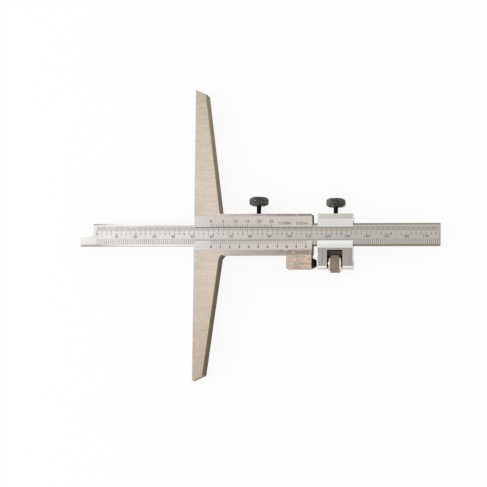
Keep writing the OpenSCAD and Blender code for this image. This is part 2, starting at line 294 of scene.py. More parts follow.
@dataclass(frozen=True)
class Finish:
    """A metal surface with marks of grinding or turning, clouding and fine pits, and painted light and shade
    where fades or ends are given.

    Attributes:
        name: The material's name.
        tone: Base colour.
        deep: Base colour in the marks and stains, and in the painted shade towards the ends.
        roughness: Mean roughness.
        metallic: 1 for bare metal, less where an oxide or paint covers it.
        lay: Which way the marks run.
        fine: Marks for each metre across their lay.
        run: Length of a mark, in marks' widths.
        tint: How far the marks take on the deep colour.
        depth: Height of the marks in metres.
        clouds: How far broad clouding takes on the deep colour.
        cloud_size: Clouds for each metre.
        fades: Painted light and shade, where another tone takes over: the fade's start, its end and that
            tone.
        fade_axis: The axis along which they lie.
        ends: Distances from the beam's axis between which the deep colour creeps in as painted shade towards
            the arms' ends, or None.
        low_side: How many times further that painted shade creeps in on the -Y side.
        fleck: How far bright flecks take on the glint colour.
        glint: Base colour of the flecks.
        fleck_size: Flecks for each metre.
        gloss: The shader's specular level, which counts where the surface isn't bare metal.
        sheer: Colour of what the bare metal reflects when it is seen almost along its surface.
    """

    name: str
    tone: Colour
    deep: Colour
    roughness: float
    metallic: float = 1.0
    lay: Lay = Lay.ALONG_X
    fine: float = 3500.0
    run: float = 60.0
    tint: float = 0.3
    depth: float = 0.004 * MM
    clouds: float = 0.2
    cloud_size: float = 90.0
    fades: Sequence[tuple[float, float, Colour]] = ()
    fade_axis: Axis = Axis.X
    ends: tuple[float, float] | None = None
    low_side: float = 1.4
    fleck: float = 0.0
    glint: Colour = (0.7, 0.68, 0.66)
    fleck_size: float = 900.0
    gloss: float = 0.5
    sheer: Colour = (1.0, 1.0, 1.0)

    def material(self) -> bpy.types.Material:
        """The material of this finish, made once."""
        return bpy.data.materials.get(self.name) or self._build()

    def _marks(self, tree: Tree, place: Socket) -> Socket:
        """The vector over which the marks are drawn."""
        scale = tuple(self.fine if quick else self.fine / self.run for quick in self.lay.value)
        return tree.scaled(place, scale)

    def _stain_and_end_shade(self, tree: Tree, place: Socket, marks: Socket, clouds: Socket) -> Socket:
        """How far each point takes on the deep colour, from its marks and clouds and from the painted shade
        towards the ends.

        Args:
            tree: The tree.
            place: The point's place.
            marks: Noise of the marks.
            clouds: Noise of the clouds.

        Returns:
            The share of the deep colour.
        """
        marked = tree.ramp(marks, MARK_STOPS) * self.tint
        stain_and_shade = marked.maximum(tree.ramp(clouds, CLOUD_STOPS) * self.clouds)
        if self.ends:
            start, end = self.ends
            side = tree.component(place, Axis.Y)
            away = side.maximum(side * -self.low_side) - start
            stain_and_shade = stain_and_shade + (away * (END_SHADE / (end - start))).maximum(0.0)
        return stain_and_shade

    def _colour(self, tree: Tree, place: Socket, stain_and_shade: Socket) -> Socket:
        """The base colour with its painted light fades, its stains and painted end shade, and its flecks.

        Args:
            tree: The tree.
            place: The point's place.
            stain_and_shade: The share of the deep colour.

        Returns:
            The colour.
        """
        tone: Socket | Colour = self.tone
        for start, end, beyond in self.fades:
            share = (tree.component(place, self.fade_axis) - start) * (1.0 / (end - start))
            tone = tree.blend(share, tone, beyond)
        colour = tree.blend(stain_and_shade, tone, self.deep)
        if not self.fleck:
            return colour
        grain = (self.fleck_size * FLECK_CROWDING, self.fleck_size, self.fleck_size)
        flecks = tree.noise(tree.scaled(place, grain), detail=2.0)
        return tree.blend(tree.ramp(flecks, FLECK_STOPS) * self.fleck, colour, self.glint)

    def _build(self) -> bpy.types.Material:
        """Makes the material.

        Returns:
            The material.
        """
        made = bpy.data.materials.new(self.name)
        tree = Tree(made)
        place = tree.place()
        marks = tree.noise(self._marks(tree, place), detail=4.0, roughness=0.7)
        crowd = (self.cloud_size, self.cloud_size * CLOUD_CROWDING, self.cloud_size)
        clouds = tree.noise(tree.scaled(place, crowd))
        colour = self._colour(tree, place, self._stain_and_end_shade(tree, place, marks, clouds))
        rough = self.roughness + (marks - 0.5) * MARK_ROUGHNESS + (clouds - 0.5) * CLOUD_ROUGHNESS
        height = {"Strength": 1.0, "Distance": self.depth, "Height": marks}
        shader = tree.node(
            "ShaderNodeBsdfPrincipled",
            inputs={
                "Base Color": colour,
                "Roughness": rough,
                "Metallic": self.metallic,
                "Specular IOR Level": self.gloss,
                "Specular Tint": (*self.sheer, 1.0),
                "Normal": tree.node("ShaderNodeBump", inputs=height),
            },
        )
        tree.node("ShaderNodeOutputMaterial", inputs={"Surface": shader})
        return made


class Finishes:
    """Every finish of the gauge."""

    # Its fades paint shade that darkens the frame towards +X, and its ends paint shade towards the arms'
    # tips, more on the -Y arm.
    WARM = Finish(
        "warm_brushed_steel", (0.645, 0.555, 0.475), (0.45, 0.37, 0.29), 0.42, fine=1250.0, run=12.0,
        tint=0.55, clouds=0.3, cloud_size=240.0, ends=(25 * MM, 75 * MM), fleck=0.35,
        glint=(0.68, 0.62, 0.56),
        fades=((12 * MM, 20 * MM, (0.475, 0.415, 0.355)), (20 * MM, 50 * MM, (0.24, 0.217, 0.184))),
    )
    # Its fade paints light that is brightest at the verniers' left ends and dims towards +X.
    VERNIER = Finish(
        "satin_vernier_steel", (0.68, 0.675, 0.66), (0.46, 0.42, 0.37), 0.36, fine=2400.0, run=30.0, tint=0.3,
        clouds=0.2, fades=((2 * MM, 12 * MM, (0.61, 0.57, 0.53)),),
    )
    # Its fade paints shade that darkens the carriage's lower flats towards +X.
    CARRIAGE = Finish(
        "satin_carriage_steel", (0.45, 0.41, 0.385), (0.27, 0.235, 0.21), 0.33, lay=Lay.ALONG_Y, fine=900.0,
        run=12.0, tint=0.6, clouds=0.25, fades=((64 * MM, 82 * MM, (0.38, 0.35, 0.31)),),
    )
    # Its fade paints shade that darkens the carriage's upper flat towards +X.
    CARRIAGE_TOP = Finish(
        "satin_carriage_top", (0.6, 0.575, 0.53), (0.44, 0.4, 0.36), 0.33, fine=2400.0, run=30.0, tint=0.25,
        clouds=0.2, fades=((64 * MM, 82 * MM, (0.53, 0.51, 0.465)),),
    )
    POLISHED = Finish(
        "polished_chamfer", (0.71, 0.71, 0.69), (0.5, 0.48, 0.45), 0.26, fine=3000.0, run=30.0, tint=0.2,
        clouds=0.15,
    )
    # A painted highlight on the carriage's lower chamfer, its outer end and its edge towards the frame.
    BRIGHT = Finish(
        "edge_painted_highlight", (0.86, 0.85, 0.82), (0.6, 0.57, 0.52), 0.45, fine=1500.0, run=10.0, tint=0.25,
    )
    # Its fades paint shade that darkens the beam towards +X.
    BEAM = Finish(
        "ground_beam_steel", (0.57, 0.55, 0.53), (0.4, 0.37, 0.33), 0.3, fine=2600.0, run=40.0, tint=0.25,
        clouds=0.15,
        fades=((3 * MM, 40 * MM, (0.505, 0.48, 0.445)), (55 * MM, 80 * MM, (0.49, 0.46, 0.41))),
    )
    # Painted light on the beam's long front chamfers: a painted highlight near the nose, fading to painted
    # shade towards +X.
    BEAM_EDGE = Finish(
        "beam_edge_painted_light", (0.46, 0.42, 0.35), (0.3, 0.26, 0.19), 0.35, fine=1500.0, run=30.0, tint=0.2,
        fades=((-51 * MM, -40 * MM, (0.93, 0.91, 0.87)), (5 * MM, 35 * MM, (0.17, 0.14, 0.1))),
    )
    # A darker copy of the frame's brushed steel: painted shade on the arms' end faces.
    ARM_END = Finish(
        "arm_end_painted_shade", (0.36, 0.305, 0.245), (0.24, 0.2, 0.155), 0.42, fine=1250.0, run=12.0, tint=0.5,
        clouds=0.3, sheer=(0.7, 0.64, 0.56),
    )
    # Painted shade: the walls of the frame, carriage, lug and back plate, nearly black.
    FLANK = Finish(
        "flank_painted_shade", (0.1, 0.09, 0.075), (0.05, 0.044, 0.035), 0.5, metallic=0.9, fine=900.0,
        run=12.0, tint=0.45, clouds=0.4,
    )
    # Painted shade on the arms' walls, lighter on the +Y arm.
    ARM_WALL = Finish(
        "arm_wall_painted_shade", (0.135, 0.112, 0.086), (0.09, 0.073, 0.054), 0.5, fine=900.0, run=12.0, tint=0.4,
        clouds=0.3, fade_axis=Axis.Y, sheer=(0.64, 0.6, 0.55),
        fades=((-5 * MM, 15 * MM, (0.24, 0.21, 0.172)), (15 * MM, 65 * MM, (0.3, 0.266, 0.222))),
    )
    # Painted shade on the arms' long chamfers, lighter towards +Y.
    ARM_EDGE = Finish(
        "arm_chamfer_painted_shade", (0.2, 0.168, 0.122), (0.11, 0.09, 0.062), 0.45, fine=900.0, run=6.0,
        lay=Lay.ALONG_Y, tint=0.4, clouds=0.3, fade_axis=Axis.Y,
        fades=((0.0, 60 * MM, (0.33, 0.28, 0.215)),),
    )
    # A painted shadow line along the bevels' lower edges over the beam.
    LIP = Finish(
        "lip_edge_painted_shade", (0.14, 0.125, 0.108), (0.08, 0.07, 0.06), 0.4, fine=1800.0, run=20.0, tint=0.3,
    )
    LUG = Finish(
        "coarse_brushed_steel", (0.6, 0.49, 0.405), (0.28, 0.2, 0.15), 0.45, fine=900.0, run=5.0, tint=0.7,
        depth=0.012 * MM, clouds=0.5, cloud_size=420.0, fleck=0.5, glint=(0.78, 0.69, 0.62),
    )
    # Painted shade inside the carriage's window round the nut.
    SOCKET = Finish(
        "window_painted_shade", (0.2, 0.155, 0.12), (0.08, 0.06, 0.046), 0.45, metallic=0.7, fine=1200.0,
        lay=Lay.EVEN, tint=0.4,
    )
    BLACK = Finish(
        "black_oxide_steel", (0.012, 0.011, 0.008), (0.1, 0.094, 0.08), 0.3, metallic=0.0, lay=Lay.EVEN,
        fine=1500.0, tint=0.3, clouds=0.5, cloud_size=600.0, gloss=0.6,
    )
    # Speckled oxide whose paler tone is a painted highlight on the heads' left side.
    HEAD = Finish(
        "speckled_oxide_painted_highlight", (0.085, 0.079, 0.07), (0.012, 0.0105, 0.007), 0.32, metallic=0.0, lay=Lay.EVEN,
        fine=2200.0, tint=0.5, clouds=0.5, cloud_size=900.0, gloss=0.35, fleck=0.9, glint=(0.2, 0.184, 0.153),
        fleck_size=1700.0,
    )
    HEAD_FACE = Finish(
        "turned_black_oxide", (0.035, 0.032, 0.027), (0.016, 0.014, 0.011), 0.34, metallic=0.0, lay=Lay.EVEN,
        fine=3500.0, tint=0.5, clouds=0.3, cloud_size=500.0, gloss=0.45,
    )
    STEM = Finish(
        "black_oxide_thread", (0.005, 0.004, 0.003), (0.02, 0.018, 0.014), 0.5, metallic=0.5, lay=Lay.EVEN,
        fine=2600.0, tint=0.2,
    )
    NICKEL = Finish(
        "worn_nickel_knurl", (0.3, 0.25, 0.195), (0.09, 0.068, 0.046), 0.26, lay=Lay.EVEN, fine=1300.0,
        tint=0.45, clouds=0.4, cloud_size=320.0,
    )
    NICKEL_EDGE = Finish(
        "bright_nickel_shoulder", (0.8, 0.74, 0.64), (0.34, 0.28, 0.21), 0.2, lay=Lay.ROUND_X, fine=2500.0,
        tint=0.3, clouds=0.8, cloud_size=500.0,
    )
    BRASS = Finish(
        "plain_brass", (0.72, 0.52, 0.24), (0.4, 0.26, 0.1), 0.35, fine=3000.0, tint=0.3,
    )
    SCREW = Finish(
        "turned_screw_steel", (0.34, 0.325, 0.3), (0.16, 0.145, 0.125), 0.32, lay=Lay.ROUND_Z, fine=5000.0,
        tint=0.3,
    )
    PLATE = Finish(
        "ground_back_plate", (0.62, 0.605, 0.575), (0.42, 0.39, 0.35), 0.34, fine=2400.0, run=30.0, tint=0.35,
        clouds=0.25,
    )
    BEAM_SIDE = Finish(
        "ground_beam_side", (0.43, 0.41, 0.37), (0.27, 0.245, 0.21), 0.38, fine=1400.0, run=25.0, tint=0.35,
        clouds=0.25,
    )
    BACK = Finish(
        "ground_back_steel", (0.5, 0.48, 0.44), (0.34, 0.31, 0.27), 0.38, lay=Lay.ALONG_Y, fine=4200.0,
        tint=0.3,
    )
    INK = Finish(
        "black_graduation_ink", (0.03, 0.027, 0.024), (0.09, 0.08, 0.07), 0.6, metallic=0.0, lay=Lay.EVEN,
        fine=3000.0, tint=0.4, depth=0.001 * MM,
    )


# ---------------------------------------------------------------- meshes


def add_piece(
    name: str,
    mesh: bpy.types.Mesh,
    body: Body,
    finishes: Sequence[Finish],
    nodes: Sequence[str] = (),
) -> bpy.types.Object:
    """Puts a mesh into the scene as a piece of the gauge.

    Args:
        name: The piece's name.
        mesh: Its mesh, in the row frame.
        body: The body that it rides on.
        finishes: Its finishes, in the order of its faces' material indices.
        nodes: The CAD nodes that it stands for.

    Returns:
        The piece.
    """
    for finish in finishes:
        mesh.materials.append(finish.material())
    made = bpy.data.objects.new(name, mesh)
    bpy.context.scene.collection.objects.link(made)
    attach(made, body.value)
    if nodes:
        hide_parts(*nodes)
    LOG.info("%s: %d faces, rides on %s", name, len(mesh.polygons), body.value)
    return made


def mesh_of(name: str, shape: bmesh.types.BMesh, sharp: float | None = None) -> bpy.types.Mesh:
    """Turns a bmesh into a smooth-shaded mesh and frees it.

    Args:
        name: The mesh's name.
        shape: The bmesh.
        sharp: Angle in degrees above which an edge stays sharp, or None for flat shading.

    Returns:
        The mesh.
    """
    for face in shape.faces:
        face.smooth = sharp is not None
    for edge in shape.edges:
        edge.smooth = sharp is None or edge.calc_face_angle(0.0) < math.radians(sharp)
    mesh = bpy.data.meshes.new(name)
    shape.to_mesh(mesh)
    shape.free()
    return mesh


@dataclass(frozen=True)
class Chamfer:
    """A chamfer along some edges of a node.

    Attributes:
        chosen: Whether an edge is chamfered.
        width: The chamfer's width on each of the edge's faces.
        finish: Index of its finish.
    """

    chosen: Callable[[bmesh.types.BMEdge], bool]
    width: float
    finish: int


def middle(edge: bmesh.types.BMEdge) -> Vector:
    """The middle of an edge."""
    return (edge.verts[0].co + edge.verts[1].co) / 2


def runs_along(edge: bmesh.types.BMEdge, axis: Axis) -> bool:
    """Whether an edge is parallel to an axis."""
    way = edge.verts[1].co - edge.verts[0].co
    return abs(way[axis.value]) > SQUARE * way.length


@dataclass
class EasedNode:
    """A CAD node's own shape with its edges eased, so that they catch the light.

    Attributes:
        node: The node's name.
        body: The body that it belongs to.
        slot: The record's material slot.
        finishes: Its finishes.
        pick: Which finish a face has, from its centre and normal.
        ease: Width of the eased edges in metres.
        chamfers: Chamfers with a finish of their own, cut before the edges are eased.
        corner: Angle in degrees above which an edge is eased.
        weld: Distance under which two points of the node's mesh are one.
        flat: Angle in degrees under which two neighbouring faces are one.
    """

    node: str
    body: Body
    slot: Slot
    finishes: Sequence[Finish]
    pick: Callable[[Vector, Vector], int] = lambda centre, normal: 0
    ease: float = 0.1 * MM
    chamfers: Sequence[Chamfer] = ()
    corner: float = 28.0
    weld: float = 0.001 * MM
    flat: float = 0.4

    def build(self) -> bpy.types.Object:
        """Builds the piece in place of its node.

        Returns:
            The piece.
        """
        shape = bmesh.new()
        shape.from_mesh(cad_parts[self.node].data)
        bmesh.ops.remove_doubles(shape, verts=shape.verts, dist=self.weld)
        flat = math.radians(self.flat)
        bmesh.ops.dissolve_limit(shape, angle_limit=flat, verts=shape.verts, edges=shape.edges)
        for face in shape.faces:
            face.material_index = self.pick(face.calc_center_median(), face.normal)
        for chamfer in self.chamfers:
            bmesh.ops.bevel(
                shape,
                geom=[edge for edge in shape.edges if chamfer.chosen(edge)],
                offset=chamfer.width,
                offset_type="OFFSET",
                affect="EDGES",
                segments=1,
                profile=0.5,
                clamp_overlap=False,
                material=chamfer.finish,
            )
        mesh = mesh_of(f"{self.node}_eased", shape, sharp=self.corner)
        piece = add_piece(f"{self.node}_eased", mesh, self.body, self.finishes, [self.node])
        bevel = piece.modifiers.new("eased_edges", "BEVEL")
        bevel.limit_method = "ANGLE"
        bevel.angle_limit = math.radians(self.corner)
        bevel.width = self.ease
        bevel.segments = 2
        bevel.harden_normals = True
        return piece


@dataclass(frozen=True)
class Ring:
    """One ring of a turned surface.

    Attributes:
        along: Its place along the axis.
        radius: Its largest radius.
        cut: How deep the surface pattern cuts into it.
        finish: Index of the finish from this ring to the next one.
    """

    along: float
    radius: float
    cut: float = 0.0
    finish: int = 0


@dataclass
class Turned:
    """A turned surface round an axis of the row frame, with a pattern cut into it.

    Attributes:
        axis: The axis.
        centre: A point of the axis.
        rings: Its rings, in order from one end of the surface to the other.
        steps: Points round each ring.
        pattern: Share of the cut at an angle and a place along the axis, from 0 to 1.
        closed: Whether the last ring joins the first, as round a bore, in place of end caps.
    """

    axis: Axis
    centre: Vector
    rings: Sequence[Ring]
    steps: int
    pattern: Callable[[float, float], float]
    closed: bool = False

    def _point(self, ring: Ring, angle: float) -> Vector:
        """A point of a ring.

        Args:
            ring: The ring.
            angle: The angle round the axis.

        Returns:
            The point, in the row frame.
        """
        radius = ring.radius - (ring.cut * self.pattern(angle, ring.along) if ring.cut else 0.0)
        point = Vector(self.centre)
        point[self.axis.value] = ring.along
        point[(self.axis.value + 1) % 3] += radius * math.cos(angle)
        point[(self.axis.value + 2) % 3] += radius * math.sin(angle)
        return point

    def shape(self) -> bmesh.types.BMesh:
        """Builds the surface.

        Returns:
            The closed surface.
        """
        shape = bmesh.new()
        angles = [math.tau * step / self.steps for step in range(self.steps)]
        rows = [[shape.verts.new(self._point(ring, angle)) for angle in angles] for ring in self.rings]
        pairs = list(zip(rows, rows[1:], self.rings))
        if self.closed:
            pairs.append((rows[-1], rows[0], self.rings[-1]))
        for low, high, ring in pairs:
            for step in range(self.steps):
                after = (step + 1) % self.steps
                face = shape.faces.new((low[step], low[after], high[after], high[step]))
                face.material_index = ring.finish
        if not self.closed:
            shape.faces.new(list(reversed(rows[0]))).material_index = self.rings[0].finish
            shape.faces.new(rows[-1]).material_index = self.rings[-1].finish
        bmesh.ops.recalc_face_normals(shape, faces=shape.faces)
        return shape

    def build(
        self, name: str, body: Body, slot: Slot, finishes: Sequence[Finish], nodes: Sequence[str] = ()
    ) -> bpy.types.Object:
        """Builds the piece that the surface bounds."""
        return add_piece(name, mesh_of(name, self.shape(), TURNED_CORNER), body, finishes, nodes)


def wave(phase: float) -> float:
    """A triangle wave of a phase in turns: 0 at whole turns, 1 half-way between."""
    return 1.0 - abs(1.0 - 2.0 * (phase % 1.0))


@dataclass(frozen=True)
class Thread:
    """A screw thread cut into a rod.

    Attributes:
        pitch: Its pitch.
        depth: Its depth.
        rows: Rings for each pitch.
    """

    pitch: float
    depth: float
    rows: int = 6

    def pattern(self, angle: float, along: float) -> float:
        """Share of the depth that is cut at an angle and a place along the axis."""
        return wave(along / self.pitch - angle / math.tau)

    def rings(self, start: float, end: float, radius: float, finish: int = 0) -> list[Ring]:
        """Rings of a threaded stretch.

        Args:
            start: Where it starts along the axis.
            end: Where it ends.
            radius: Radius over its crests.
            finish: Index of its finish.

        Returns:
            The rings.
        """
        count = max(2, round((end - start) / self.pitch * self.rows))
        places = [start + (end - start) * step / count for step in range(count + 1)]
        return [Ring(place, radius, self.depth, finish) for place in places]


# ---------------------------------------------------------------- graduations


@dataclass(frozen=True)
class Facet:
    """A flat face that carries graduations.

    Attributes:
        edge: The point with x = 0 on the edge that the marks start from.
        rise: Unit vector across the face, away from that edge.
        lift: Height of the ink over the face.
    """

    edge: Vector
    rise: Vector
    lift: float = 0.012 * MM

    def matrix(self) -> Matrix:
        """The face's own frame: X along the beam, Y across the face, Z out of it.

        Returns:
            The frame's matrix.
        """
        along = Vector((1.0, 0.0, 0.0))
        across = self.rise if self.rise.y > 0 else -self.rise
        out = along.cross(across)
        basis = Matrix((along, across, out)).transposed().to_4x4()
        return Matrix.Translation(self.edge) @ basis


@dataclass
class Inking:
    """Graduations and numbers, as thin closed pieces of ink on a face.

    Attributes:
        facet: The face.
        line: Width of a line.
        weight: How far the numbers' strokes are thickened.
        shape: The ink so far.
    """

    facet: Facet
    line: float = 0.13 * MM
    weight: float = 0.0
    shape: bmesh.types.BMesh = field(default_factory=bmesh.new)

    def tick(self, x: float, low: float, high: float) -> None:
        """Adds a line across the beam.

        Args:
            x: Its place along the beam.
            low: Its lower end in the face's frame.
            high: Its upper end.
        """
        size = Matrix.Diagonal((self.line, high - low, self.facet.lift, 1.0))
        place = Matrix.Translation((x, (low + high) / 2, self.facet.lift / 2))
        bmesh.ops.create_cube(self.shape, size=1.0, matrix=self.facet.matrix() @ place @ size)

    def number(self, text: str, x: float, y: float, height: float, stretch: float = 1.0) -> None:
        """Adds a number or a unit.

        Args:
            text: What it says.
            x: Its middle along the beam.
            y: Its middle in the face's frame.
            height: Height of its digits.
            stretch: Its width, as a share of the usual one.
        """
        glyphs = Glyphs.mesh(text, self.weight)
        scale = height / Glyphs.DIGIT
        size = Matrix.Diagonal((scale * stretch, scale, self.facet.lift, 1.0))
        place = Matrix.Translation((x, y, self.facet.lift / 2))
        added = bmesh.new()
        added.from_mesh(glyphs)
        added.transform(self.facet.matrix() @ place @ size)
        copy = bpy.data.meshes.new("glyphs_placed")
        added.to_mesh(copy)
        added.free()
        self.shape.from_mesh(copy)
        bpy.data.meshes.remove(copy)

    def build(self, name: str, body: Body) -> bpy.types.Object:
        """Makes the piece."""
        return add_piece(name, mesh_of(name, self.shape), body, [Finishes.INK])


class Glyphs:
    """Plain digits and letters as closed meshes of unit thickness, centred on their own middle."""

    DIGIT = 0.7
    _made: dict[tuple[str, float], bpy.types.Mesh] = {}

    @classmethod
    def mesh(cls, text: str, weight: float) -> bpy.types.Mesh:
        """The mesh of a text in a type of size 1.

        Args:
            text: The text.
            weight: How far its strokes are thickened.

        Returns:
            The mesh, which is kept for the next use.
        """
        if (text, weight) not in cls._made:
            curve = bpy.data.curves.new("glyph_curve", "FONT")
            curve.body = text
            curve.align_x = "CENTER"
            curve.extrude = 0.5
            curve.resolution_u = 3
            curve.offset = weight
            holder = bpy.data.objects.new("glyph_holder", curve)
            bpy.context.scene.collection.objects.link(holder)
            graph = bpy.context.evaluated_depsgraph_get()
            mesh = bpy.data.meshes.new_from_object(holder.evaluated_get(graph))
            bpy.data.objects.remove(holder)
            bpy.data.curves.remove(curve)
            mesh.transform(Matrix.Translation((0.0, -cls.DIGIT / 2, 0.0)))
            cls._made[text, weight] = mesh
        return cls._made[text, weight]

    @classmethod
    def clear(cls) -> None:
        """Removes the meshes that the placed numbers were copied from."""
        for mesh in cls._made.values():
            bpy.data.meshes.remove(mesh)
        cls._made.clear()


@dataclass
class BeamScales:
    """The beam's inch scale along its upper edge and millimetre scale along its lower one.

    Attributes:
        far_margin: Least distance of the last marks from the beam's far end.
        line: Width of a mark.
        weight: How far the digits' strokes are thickened.
        inch_top: Y of the end that all inch marks share.
        inch_low: Y of the other end, on a fortieth of an inch.
        tenth_low: The same on a tenth.
        tenth_digit: Height of the tenths' digits.
        tenth_y: Y of their middle.
        tenth_stretch: Their width, as a share of the usual one.
        inch_digit: Height of the inches' digits.
        inch_y: Y of their middle.
        mm_low: Y of the end that all millimetre marks share.
        mm_high: Y of the other end, on a millimetre.
        five_high: The same on every fifth millimetre.
        ten_high: The same on every tenth.
        mm_digit: Height of the millimetre scale's digits.
        mm_y: Y of their middle.
        mm_stretch: Their width, as a share of the usual one.
    """

    far_margin: float = 1.0 * MM
    line: float = 0.17 * MM
    weight: float = 0.006
    inch_top: float = 4.2 * MM
    inch_low: float = 2.1 * MM
    tenth_low: float = 1.35 * MM
    tenth_digit: float = 0.95 * MM
    tenth_y: float = 0.4 * MM
    tenth_stretch: float = 1.1
    inch_digit: float = 1.3 * MM
    inch_y: float = 0.5 * MM
    mm_low: float = -4.9 * MM
    mm_high: float = -2.1 * MM
    five_high: float = -1.85 * MM
    ten_high: float = -1.7 * MM
    mm_digit: float = 1.3 * MM
    mm_y: float = -0.85 * MM
    mm_stretch: float = 1.15

    def build(self) -> bpy.types.Object:
        """Engraves both scales.

        Returns:
            The piece of ink.
        """
        low, high = node_box("beam")
        zero = low.x + ZERO_TO_NOSE
        reach = high.x - self.far_margin - zero
        face = Facet(Vector((0.0, 0.0, high.z)), Vector((0.0, 1.0, 0.0)))
        ink = Inking(face, self.line, self.weight)
        self._millimetres(ink, zero, reach)
        self._inches(ink, zero, reach)
        return ink.build("beam_graduations", Body.BEAM)

    def _millimetres(self, ink: Inking, zero: float, reach: float) -> None:
        """Adds the millimetre scale.

        Args:
            ink: The ink.
            zero: Place of its zero.
            reach: Its length.
        """
        for mark in range(int(reach / MM) + 1):
            x = zero + mark * MM
            top = self.ten_high if mark % 10 == 0 else self.five_high if mark % 5 == 0 else self.mm_high
            ink.tick(x, self.mm_low, top)
            if mark % 10 == 0 and mark:
                ink.number(str(mark), x, self.mm_y, self.mm_digit, self.mm_stretch)

    def _inches(self, ink: Inking, zero: float, reach: float) -> None:
        """Adds the inch scale, in fortieths with the tenths numbered.

        Args:
            ink: The ink.
            zero: Place of its zero.
            reach: Its length.
        """
        step = INCH / 40
        for mark in range(int(reach / step) + 1):
            x = zero + mark * step
            ink.tick(x, self.tenth_low if mark % 4 == 0 else self.inch_low, self.inch_top)
            if mark % 40 == 0:
                ink.number(str(mark // 40), x, self.inch_y, self.inch_digit)
            elif mark % 4 == 0:
                ink.number(str(mark // 4 % 10), x, self.tenth_y, self.tenth_digit, self.tenth_stretch)


@dataclass(frozen=True)
class Vernier:
    """A vernier scale on one of the frame's sloping faces.

    Attributes:
        name: The piece's name.
        edge: Y of the face's edge over the beam.
        top: Y of its edge at the frame's front face.
        divisions: How many divisions it has.
        span: Their length together.
        short: Distance from the edge to a mark's far end.
        long: The same for every fifth mark.
        number_at: Distance from the edge to the middle of the numbers.
        digit: Height of their digits.
        label: The number at every fifth mark.
        line: Width of a mark.
        weight: How far the digits' strokes are thickened.
        start: Distance from the edge to a mark's near end.
        stretch: The digits' width, as a share of the usual one.
    """

    name: str
    edge: float
    top: float
    divisions: int
    span: float
    short: float
    long: float
    number_at: float
    digit: float
    label: Callable[[int], str]
    line: float
    weight: float
    start: float = 0.25 * MM
    stretch: float = 1.1

    def facet(self) -> Facet:
        """The sloping face that carries the scale.

        Returns:
            The face.
        """
        foot = Vector((0.0, self.edge, LIP_Z))
        front = Vector((0.0, self.top, node_box("base_frame")[1].z))
        return Facet(foot, (front - foot).normalized())

    def build(self, zero: float) -> bpy.types.Object:
        """Engraves the scale.

        Args:
            zero: Place of its zero.

        Returns:
            The piece of ink.
        """
        ink = Inking(self.facet(), self.line, self.weight)
        way = 1 if self.edge > 0 else -1
        for mark in range(self.divisions + 1):
            x = zero + mark * self.span / self.divisions
            fifth = mark % 5 == 0
            low, high = sorted((way * self.start, way * (self.long if fifth else self.short)))
            ink.tick(x, low, high)
            if fifth:
                ink.number(self.label(mark), x, way * self.number_at, self.digit, self.stretch)
        return ink.build(self.name, Body.FRAME)


@dataclass
class VernierScales:
    """The two vernier scales on the frame's sloping faces, with the units that they read to.

    Attributes:
        reading: What they read at rest.
        upper: The inch vernier, 25 divisions on 49 fortieths of an inch.
        lower: The millimetre vernier, 50 divisions on 49 mm.
        units: Each unit and its place along the beam.
        unit_at: Distance from the upper face's edge to the middle of the units.
        unit_digit: Height of their digits.
        unit_stretch: Their width, as a share of the usual one.
        unit_weight: How far their strokes are thickened.
    """

    reading: float = 60 * MM
    upper: Vernier = Vernier(
        "inch_vernier_graduations",
        edge=3.7 * MM,
        top=9.2 * MM,
        divisions=25,
        span=INCH * 49 / 40,
        short=1.45 * MM,
        long=1.95 * MM,
        number_at=3.3 * MM,
        digit=1.45 * MM,
        label=str,
        line=0.19 * MM,
        weight=0.008,
    )
    lower: Vernier = Vernier(
        "millimetre_vernier_graduations",
        edge=-2.8 * MM,
        top=-8.0 * MM,
        divisions=50,
        span=49 * MM,
        short=2.1 * MM,
        long=2.75 * MM,
        number_at=3.85 * MM,
        digit=1.4 * MM,
        label=lambda mark: str(mark // 5 % 10),
        line=0.17 * MM,
        weight=0.022,
    )
    units: Sequence[tuple[str, float]] = (("1/1000in", 46.8 * MM), ("0.02mm", 55.7 * MM))
    unit_at: float = 2.2 * MM
    unit_digit: float = 1.45 * MM
    unit_stretch: float = 0.96
    unit_weight: float = 0.006

    def build(self) -> None:
        """Engraves both verniers and the units."""
        zero = node_box("beam")[0].x + ZERO_TO_NOSE + self.reading
        self.upper.build(zero)
        ink = Inking(self.upper.facet(), weight=self.unit_weight)
        for text, x in self.units:
            ink.number(text, x, self.unit_at, self.unit_digit, self.unit_stretch)
        ink.build("unit_marks", Body.FRAME)
        self.lower.build(zero)


# ---------------------------------------------------------------- sub-assemblies


def is_lip(edge: bmesh.types.BMEdge) -> bool:
    """Whether an edge is the lower edge of a bevel over the beam."""
    return abs(middle(edge).z - LIP_Z) < NEAR and runs_along(edge, Axis.X)


def ease_all(
    nodes: Iterable[str], body: Body, slot: Slot, finish: Finish, ease: float = SMALL_EASE
) -> None:
    """Builds eased nodes that have one finish all over."""
    for node in nodes:
        EasedNode(node, body, slot, [finish], ease=ease).build()


